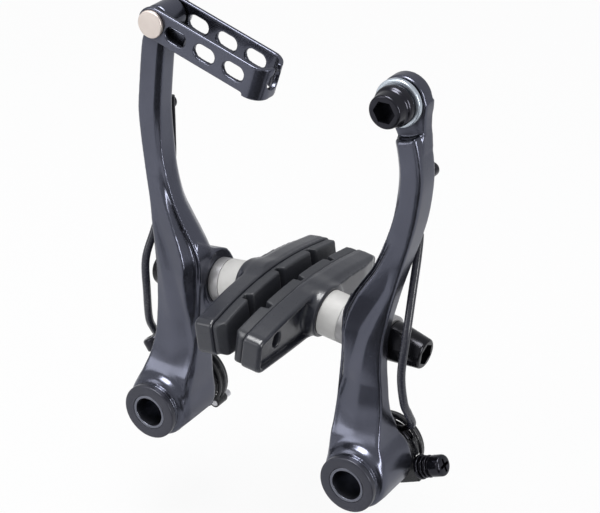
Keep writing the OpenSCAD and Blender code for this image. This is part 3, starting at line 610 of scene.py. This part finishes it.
def make_holder_field(side):
    """The distance field of one spring holder."""
    back = np.linalg.inv(screw_frame(side))

    def field(x, y, z):
        r = np.hypot(x, z)
        d = round_bar(r, y, 8.0, HOLDER_FRONT, HOLDER_FRONT + 1.5, 0.25)
        for start, end, radius in ((1.3, 2.5, 8.8), (2.2, 3.8, 8.2), (3.5, 4.5, 8.8),
                                   (4.4, 5.6, 8.6)):
            d = np.minimum(d, round_bar(r, y, radius, HOLDER_FRONT + start, HOLDER_FRONT + end, 0.3))
        pin = np.hypot(x - ANCHOR[0], z - ANCHOR[1])
        d = blend(d, round_bar(pin, y, 1.4, HOLDER_FRONT + 1.2, HOLDER_BACK, 0.2), 0.4)
        sx = back[0, 0] * x + back[0, 1] * y + back[0, 2] * z + back[0, 3]
        sy = back[1, 0] * x + back[1, 1] * y + back[1, 2] * z + back[1, 3]
        sz = back[2, 0] * x + back[2, 1] * y + back[2, 2] * z + back[2, 3]
        lug = np.maximum(np.maximum(np.abs(sx + 3.4) - 3.1, np.abs(sy - 0.3) - 2.15), np.abs(sz) - 3.2)
        d = blend(d, lug, 0.5)
        room = np.maximum(np.maximum(r - 7.9, BUSH_R + 0.6 - r), COIL_FRONT - WIRE / 2 - 0.3 - y)
        room = np.maximum(room, 1.4 - pin)
        screw = np.hypot(sy, sz)
        # the wire leaves the coil through the mouth
        mouth = np.maximum(np.maximum(np.abs(x - 5.1) - 3.7, np.abs(z - 7.6) - 3), y - COIL_FRONT - 1)
        for cut in (room, r - 4.85, pin - 1.05, np.maximum(screw - 1.55, sx - 1),
                    np.maximum(screw - 3.5, -0.3 - sx), mouth):
            d = np.maximum(d, -cut)
        return d
    return field


def plastic(name, colour, other, roughness, grain_mm, bump, coat=0.0):
    """A moulded plastic: cloudy colour, and the fine skin that its mould was given."""
    material = metal(name, colour, other, roughness, grain_mm, metallic=0.0, bump=bump)
    shader = material.node_tree.nodes["Principled BSDF"]
    shader.inputs["IOR"].default_value = 1.5
    shader.inputs["Coat Weight"].default_value = coat
    shader.inputs["Coat Roughness"].default_value = 0.12
    return material


def bite(thing, points, faces, place):
    """Cuts a closed form out of a piece."""
    cutter = bpy.data.meshes.new("cutter")
    points = np.c_[np.asarray(points, float), np.ones(len(points))] @ np.asarray(place).T
    cutter.from_pydata((points[:, :3] / 1000).tolist(), [], [list(map(int, f)) for f in faces])
    shape = bmesh.new()
    shape.from_mesh(cutter)
    bmesh.ops.remove_doubles(shape, verts=shape.verts, dist=1e-7)
    bmesh.ops.recalc_face_normals(shape, faces=shape.faces)
    shape.to_mesh(cutter)
    shape.free()
    tool = bpy.data.objects.new("cutter", cutter)
    bpy.context.scene.collection.objects.link(tool)
    cut = thing.modifiers.new("bite", "BOOLEAN")
    cut.operation, cut.solver, cut.object = "DIFFERENCE", "EXACT", tool
    graph = bpy.context.evaluated_depsgraph_get()
    mesh = bpy.data.meshes.new_from_object(thing.evaluated_get(graph))
    thing.modifiers.clear()
    thing.data = mesh
    bpy.data.objects.remove(tool)
    mesh.shade_smooth()
    mesh.set_sharp_from_angle(angle=radians(30))


def prism(sides, radius, start, end, turn=0.0):
    """A bar with flat sides along X, as points and faces."""
    ring = [(radius * cos(turn + 2 * pi * k / sides), radius * sin(turn + 2 * pi * k / sides))
            for k in range(sides)]
    points = [(start, a, b) for a, b in ring] + [(end, a, b) for a, b in ring]
    faces = [list(range(sides))[::-1], list(range(sides, 2 * sides))]
    faces += [[k, (k + 1) % sides, sides + (k + 1) % sides, sides + k] for k in range(sides)]
    return points, faces


def block(x0, x1, y0, y1, z0, z1):
    """A box, as points and faces."""
    points = [(x, y, z) for x in (x0, x1) for y in (y0, y1) for z in (z0, z1)]
    return points, [[0, 1, 3, 2], [4, 6, 7, 5], [0, 4, 5, 1], [2, 3, 7, 6], [0, 2, 6, 4], [1, 5, 7, 3]]


# moulded acetal: nearly black, with a broad soft shine
acetal = plastic("black_moulded_acetal", "#17181c", "#1f2025", 0.3, 0.4, 0.1)
# bare drawn steel: a bright grey point
bright_steel = metal("bright_drawn_steel", "#cfcfd2", "#b9b9be", 0.3, 0.2)
# black oxide on steel: black, with small sharp lights on its ridges
black_screw = metal("black_oxide_steel", "#34343b", "#26262c", 0.2, 0.25, metallic=0.8, bump=0.1)
for side, who in ((-1, "left"), (1, "right")):
    points, faces = carve(make_holder_field(side), (-10.6, 18.2, -10), (11, 24.8, 10), FINE * 0.75)
    piece(who + "_spring_cup", points, faces, post_frame(side), acetal, "post_fittings",
          [who + "_spring_holder"])
    turned(who + "_anchor", [(19.9, 0, 0), (19.9, 1, 0.2), (26.5, 1, 0.35), (26.5, 0, 0)],
           post_frame(side) @ along_y(*ANCHOR), bright_steel, "post_fittings",
           [who + "_anchor_pin"], steps=32)
    # screw with two gripping ridges and a cross recess
    place = post_frame(side) @ screw_frame(side)
    screw = turned(who + "_screw", [
        (-1, 0, 0), (-1, 1.5, 0.2), (0, 1.5, 0), (0, 3.2, 0.25), (0.9, 3.2, 0.25),
        (0.9, 2.2, 0.1), (1.4, 2.2, 0.1), (1.5, 2.9, 0.2), (2.0, 2.9, 0.2), (2.1, 2.2, 0.1),
        (2.6, 2.2, 0.1), (2.7, 2.9, 0.2), (3.2, 2.9, 0.2), (3.3, 2.2, 0.1), (3.9, 2.2, 0.1),
        (4.0, 2.8, 0.3), (7.4, 2.8, 0.9), (7.4, 0, 0)],
                   place, black_screw, who + "_tension_screw",
                   [who + "_tension_screw"], steps=48)
    for y, z in ((1.8, 0.4), (0.4, 1.8)):
        bite(screw, *block(6.2, 9, -y, y, -z, z), place)


# Return springs: steel wire wound in the holder, with a long leg that runs up behind the
# arm to a headed pin. A plastic sleeve on the leg keeps it from marking the arm.
NECK_D, SLEEVE_R, SLEEVE_END_R = 1.8, 1.05, 0.86
LEG_X, LEG_Y = HOOK_X - NECK_D / 2 - WIRE / 2 - 0.1, BAR_BACK + WIRE / 2 + 0.15
leg = [(4, COIL_FRONT - 0.1, 6.5), (6.4, 19.2, 8.9), (8.4, 17.4, 11.6), (8.7, 14.6, 16),
       (8.4, 12.8, 20), (8, 11.9, 28), (8.5, 12.6, 37), (7.8, 15.6, 44), (7.1, 18.4, 50), (6.5, 21, 56),
       (6, BAR_BACK + 1.3, HOOK_H - 15.5), (LEG_X, LEG_Y, HOOK_H - 7.5), (LEG_X, LEG_Y, HOOK_H),
       (LEG_X, LEG_Y, HOOK_H + 2.6)]
coil = []
for i in range(int(COIL_TURNS * 48) + 1):
    a = radians(COIL_END - 360 * COIL_TURNS + 7.5 * i)
    coil.append((COIL_R * cos(a), COIL_BACK - (WIRE + 0.1) * i / 48, COIL_R * sin(a)))
leg_path = smooth_rows(leg, 8)


def tube(path, widths, steps=16):
    """A round tube along a path, with its own half width at each point."""
    path = np.array(path, float)
    heading = np.gradient(path, axis=0)
    heading /= np.linalg.norm(heading, axis=1)[:, None]
    u = np.cross(heading[0], (0, 1, 0) if abs(heading[0][1]) < 0.9 else (1, 0, 0))
    points, faces = [], []
    for p, d, w in zip(path, heading, widths):
        u = u - d * np.dot(u, d)
        u /= np.linalg.norm(u)
        v = np.cross(d, u)
        points += [p + w * (u * cos(2 * pi * k / steps) + v * sin(2 * pi * k / steps))
                   for k in range(steps)]
    for i in range(len(path) - 1):
        for k in range(steps):
            m = (k + 1) % steps
            faces.append([i * steps + k, i * steps + m, (i + 1) * steps + m, (i + 1) * steps + k])
    last = (len(path) - 1) * steps
    faces += [list(range(steps))[::-1], list(range(last, last + steps))]
    return points, faces


# black oxide on spring wire: dark, with one thin line of light
spring_wire = metal("black_oxide_spring_wire", "#2c2c31", "#222227", 0.3, 0.2, metallic=0.8)
# nylon tube: dark grey, a little lighter than the wire, with one soft line of light
sleeve_plastic = plastic("grey_moulded_nylon_sleeve", "#34353f", "#2d2e37", 0.26, 0.5, 0.06)
for side, who in ((-1, "left"), (1, "right")):
    arm = who + "_arm"
    path = np.vstack([coil, leg_path[1:]])
    points, faces = tube(path, np.full(len(path), WIRE / 2), 14)
    wire = piece(who + "_spring_wire", points, faces, arm_frame(side), spring_wire, None,
                 [who + "_return_spring"], crease=50)
    path = leg_path[12:81]
    widths = np.full(len(path), SLEEVE_R)
    widths[[0, -1]] = SLEEVE_END_R
    points, faces = tube(path, widths, 20)
    sleeve = piece(who + "_leg_sleeve", points, faces, arm_frame(side), sleeve_plastic, None,
                   [who + "_spring_sleeve"], crease=50)
    for bent in (wire, sleeve):
        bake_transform(bent)
    hook_end = 24.6 if side < 0 else 26.2
    turned(who + "_hook", [(19.3, 0, 0), (19.3, 0.9, 0.1), (23.2, 0.9, 0.1), (23.2, 1.8, 0.3),
                           (hook_end, 1.8, 0.6), (hook_end, 0, 0)],
           arm_frame(side) @ along_y(HOOK_X, HOOK_H), black_screw, arm,
           [who + "_hook_pin"], steps=40)


# Brake shoes: a holder moulded from glass filled nylon, with a raised rim round a
# recessed outer face, and a softer rubber block with three grooves moulded on to it.
SHOE_GAP, RUBBER, CORE, RIM, HUMP = 2.5, 3.2, 4.4, 0.8, 2.4
STACK = (POST + WALL_X) / cos(STUD_TILT) - SHOE_GAP / 2 - RUBBER - CORE - RIM - HUMP
SEAM = -STACK - HUMP - RIM - CORE
HALF = 27.5


def side_outline(inset):
    """The shoe's outline as seen along the stud, set in by so much."""
    l, top, bottom = HALF - inset, 6.2 - inset, 7.1 - inset
    nose = 2.6
    up = [((l - nose) * i / 8, top - 3.4 * ((l - nose) * i / 8 / l) ** 2, 0) for i in range(-8, 9)]
    down = [((l - nose) * i / 8, -bottom + 0.9 * ((l - nose) * i / 8 / l) ** 2, 0)
            for i in range(8, -9, -1)]
    t, b = up[-1][1], down[0][1]
    end = [(l, t - 0.9, 1.6), (l, b + 1.3, 1.6)]
    return rounded(up[:-1] + [(up[-1][0] + 0.9, t, 1.8)] + end
                   + [(down[0][0] + 0.9, b, 1.8)] + down[1:-1]
                   + [(-down[0][0] - 0.9, b, 1.8)] + [(-l, b + 1.3, 1.6), (-l, t - 0.9, 1.6)]
                   + [(-up[-1][0] - 0.9, t, 1.8)])


WHOLE = side_outline(0)
# the back half of the holder seen from above: it falls from the hump to the end
WING = rounded([(SEAM + 2, -1, 0), (-STACK - 0.5, 3, 0.5), (-STACK - 0.5, 7.2, 1.5),
                (SEAM + CORE + 2.2, HALF - 8, 1.5), (SEAM + CORE + 0.9, HALF - 2.5, 1.0),
                (SEAM + 2, HALF - 2, 0.3)])


def holder_field(x, y, z):
    """Distance from the shoe holder: X runs along the stud and Y along the shoe."""
    s = outline_distance(y[0], np.full(y.shape[1], z), WHOLE)[None, :] + 0 * x
    d = thick(s, between(x, SEAM, SEAM + CORE + RIM), 0.9)
    d = np.minimum(d, thick(s, between(x, SEAM, SEAM + 3), 0.2))
    wing = np.maximum(outline_distance(x, y, WING), np.maximum(s + 0.5, -4.8 - z))
    hub = np.hypot(y, z)
    wing = blend(wing, round_bar(hub, x, 6.9, SEAM + 1, -STACK, 0.5), 1.5)
    # recessed panel between the rim and the hump
    panel = np.maximum(np.maximum(s + 1.5, y + 3.5), SEAM + CORE - 0.5 - x)
    h = np.clip(0.5 - 0.5 * (-panel - d) / 0.7, 0, 1)
    d = d + (-panel - d) * (1 - h) + 0.7 * h * (1 - h)
    d = blend(d, wing, 1.6)
    hole = np.maximum(np.hypot(y + HALF - 9.5, (z + 0.8) * 0.75) - 1.6, SEAM + 2 - x)
    bore = np.maximum(hub - 3.05, -STACK - 6 - x)
    return np.maximum(np.maximum(d, -hole), -bore)


def rubber_field(x, y, z):
    """Distance from the rubber block, with its three grooves and sloped ends."""
    s = outline_distance(y[0], np.full(y.shape[1], z), WHOLE)[None, :] + 0.4 + 0 * x
    d = thick(s, between(x, SEAM - RUBBER, SEAM - 0.05), 0.5)
    for k in (-1, 0, 1):
        flare = 0.25 * np.clip(SEAM - 1.6 - x, 0, 2)
        groove = np.maximum(np.abs(y - 14.5 * k - 0.4) - 0.85 - flare, x - SEAM + 1.1)
        d = np.maximum(d, -groove)
    lead = (np.abs(y) - HALF + 0.4 + (SEAM - RUBBER - x)) / 2 ** 0.5 + 1.3
    return np.maximum(d, lead)


# glass filled nylon: dark grey, its slightly rough skin spreads the light
nylon = plastic("glass_filled_nylon", "#2f3139", "#292b33", 0.32, 0.35, 0.2, coat=0.2)
# moulded rubber: much the same grey, duller than the holder
rubber = plastic("moulded_brake_rubber", "#2f3138", "#2a2c32", 0.5, 0.5, 0.35)
# zinc plated stud: pale grey, where it shows at all
bolt_steel = metal("zinc_plated_steel_stud", "#9a9ca1", "#86888e", 0.34, 0.3)
for side, who in ((-1, "left"), (1, "right")):
    place, shoe = stud_frame(side), who + "_shoe"
    points, faces = carve(holder_field, (SEAM - 0.6, -28.2, -7.8), (-STACK + 0.6, 28.2, 7.6), FINE)
    piece(who + "_shoe_body", points, faces, place, nylon, shoe,
          [who + "_shoe_holder"])
    points, faces = carve(rubber_field, (SEAM - RUBBER - 0.6, -28.2, -7.8),
                          (SEAM + 0.6, 28.2, 6.6), FINE)
    piece(who + "_rubber", points, faces, place, rubber, shoe,
          [who + "_friction_block"])
    turned(who + "_stud", [(-STACK - 6, 0, 0), (-STACK - 6, 3, 0.3), (14.3, 3, 0.5), (14.3, 0, 0)],
           place, bolt_steel, shoe, [who + "_shoe_stud"], steps=48)


# Shoe washers: two pairs, a domed one in a cupped one, which let the shoe be angled.
# They are plated a satin silver; the nut that holds them is black, with a hexagon socket.
def arc(centre, radius, sign, start, end):
    """Points of a ball's outline from one distance off the axis to another."""
    return [(centre + sign * (radius ** 2 - r ** 2) ** 0.5, r, 0) for r in np.linspace(start, end, 9)]


RIM_X, BALL = -3.6, 81 - 36
# satin silver plate: pale and matt, with a grain that shows
dome_metal = metal("satin_silver_plated_washer", "#d9d8d5", "#c6c5c2", 0.65, 0.3, metallic=0.1, bump=0.5)
# the cup is greyer than the dome, with a soft shine
cup_metal = metal("greyer_silver_plated_washer", "#aaa9aa", "#9d9c9d", 0.45, 0.3, metallic=0.7, bump=0.4)
# black oxide on the nut: black, with one streak of light along the cone
nut_black = metal("black_oxide_nut", "#26262b", "#1b1b1f", 0.22, 0.3, metallic=0.7, bump=0.1)
for side, who in ((-1, "left"), (1, "right")):
    place, shoe, washers = stud_frame(side), who + "_shoe", who + "_slot_washers"
    turned(who + "_dome_in", [(-STACK, 3.15, 0.1), (-STACK, 6, 0.3), (RIM_X, 6, 0.15)]
           + arc(RIM_X - BALL ** 0.5, 9, 1, 5.9, 3.15), place, dome_metal, shoe,
           [who + "_inner_dome_washer"])
    turned(who + "_cup_in", [(-0.5, 3.15, 0.1), (-0.5, 6, 0.3), (-3.45, 6, 0.12)]
           + arc(-0.5 - 3.1 - BALL ** 0.5, 9.1, 1, 5.9, 3.15), place, cup_metal, washers,
           [who + "_inner_cup_washer"])
    turned(who + "_cup_out", [(4.5, 3.15, 0.1), (4.5, 6, 0.3), (7.15, 6, 0.12)]
           + arc(7.3 + BALL ** 0.5, 9.1, -1, 5.9, 3.15), place, cup_metal, washers,
           [who + "_outer_cup_washer"])
    turned(who + "_dome_out", [(9.3, 3.15, 0.1), (9.3, 6, 0.3), (7.35, 6, 0.12)]
           + arc(7.3 + BALL ** 0.5, 9, -1, 5.9, 3.15), place, cup_metal, shoe,
           [who + "_outer_dome_washer"])
    nut = turned(who + "_nut", [(9.3, 3.05, 0.1), (9.3, 5.1, 0.3), (10.7, 5.1, 0.5), (18.75, 3.9, 0.5),
                                (19.1, 3.5, 0.2), (19.1, 0, 0), (14.5, 0, 0), (14.5, 3.05, 0)],
                 place, nut_black, shoe, [who + "_shoe_nut"], steps=96)
    bite(nut, *prism(6, 2.5 / cos(pi / 6), 14.4, 20, pi / 6), place)


# Link: sheet steel punched with three slots a side, folded into a narrow U and finished
# like the arms. Its folded end has a keyhole for the cable's bent guide tube, which the
# photograph doesn't show. It swings on a pin with a flat bright head.
LINK_LEN, LINK_T, LINK_W, LINK_HALF, BEND = 33.2, 1.2, 10.8, 4.05, 4.6
SLOT_FIRST, SLOT_PITCH, SLOT_HALF, SLOT_R, LINK_BORE = 7.1, 8.7, 1.05, 2.0, 2.56
link_place = arm_frame(-1) @ move(HEAD_X, BAR_FRONT - 2, LINK_H)
link_frame = link_place @ np.diag([-1, 1, 1, 1]) @ turn_y(LINK_FALL)


def link_field(x, y, z):
    """Distance from the link, with its pin at the origin and X along it."""
    qx = x - (LINK_LEN - BEND)
    qy = np.abs(y - LINK_W / 2) - (LINK_W / 2 - BEND)
    outer = np.where((qx > 0) & (qy > 0), np.hypot(qx, qy), np.maximum(qx, qy)) - BEND
    strip = np.abs(outer + LINK_T / 2) - LINK_T / 2 + 0.25
    round_end = np.where(x < 0, np.hypot(x, z), abs(z)) - LINK_HALF + 0.25
    strap = np.maximum(np.abs(z + 2.4) - 2.45, LINK_LEN - BEND - 0.4 - x) + 0.25
    height = blend(round_end, strap, 0.8)
    d = (np.minimum(np.maximum(strip, height), 0)
         + np.hypot(np.maximum(strip, 0), np.maximum(height, 0)) - 0.25)
    for k in range(3):
        along = np.abs(x - SLOT_FIRST - SLOT_PITCH * k) - SLOT_HALF
        slot = np.hypot(np.maximum(along, 0), z) - SLOT_R
        d = np.maximum(d, -slot)
    key = np.minimum(np.hypot(y - LINK_W / 2, z - 0.3) - 2.6,
                     np.maximum(np.abs(y - LINK_W / 2) - 1.2, 0.3 - z))
    d = np.maximum(d, -np.maximum(key, LINK_LEN - 3 - x))
    return np.maximum(d, -(np.hypot(x, z) - LINK_BORE))


points, faces = carve(link_field, (-4.6, -0.5, -5.6), (33.8, 11.3, 4.7), FINE * 0.8)
piece("folded_link", points, faces, link_frame, arm_paint, "link", ["cable_link"])
# satin nickel: a warm pale disc
nickel = metal("satin_nickel_plated_steel", "#e4dad3", "#d8ccc4", 0.42, 0.3, metallic=0.85, bump=0.15)
place = arm_frame(-1) @ along_y(HEAD_X, LINK_H)
turned("link_pivot", [(11.0, 0, 0), (11.0, 3.5, 0.35), (11.9, 3.5, 0.1), (11.9, 2.5, 0.1),
                      (22.9, 2.5, 0.1), (22.9, 2.05, 0), (23.65, 2.05, 0), (23.65, 2.5, 0.1),
                      (24.4, 2.5, 0.4), (24.4, 0, 0)],
       place, nickel, "left_arm", ["link_pin"])
clip = turned("pivot_clip", [(22.92, 2.08, 0.05), (22.92, 4.0, 0.15), (23.6, 4.0, 0.15),
                             (23.6, 2.08, 0.05)],
              place, bright_steel, "left_arm", ["link_pin_clip"])
bite(clip, *block(22, 25, -1.4, 1.4, -8, 0), place)


# Cable bolt on the right arm: a black cap screw with a hexagon socket, which clamps the
# brake cable under a round zinc plated washer.
place = arm_frame(1) @ along_y(HEAD_X, BOLT_H)
bolt = turned("cap_screw", [(9.0, 0, 0), (9.0, 4.1, 0.6), (12.0, 4.3, 0.5), (12.7, 5.0, 0.7),
                            (15.0, 5.1, 0.3), (15.0, 3, 0), (22.1, 3, 0.5), (22.1, 0, 0)],
              place, black_screw, "right_arm", ["cable_bolt"], steps=96)
bite(bolt, *prism(6, 2.5 / cos(pi / 6), 8, 12.6, 0), place)
# bright zinc plate: a bluish white ring
zinc = metal("bright_zinc_plated_steel", "#cfd7df", "#bcc6d0", 0.3, 0.3, metallic=0.9, bump=0.1)
turned("flat_clamp_washer", [(15.0, 3.1, 0.1), (15.0, 5.9, 0.4), (16.5, 5.9, 0.4), (16.5, 3.1, 0.1)],
       place, zinc, "right_arm", ["clamp_washer"], steps=96)
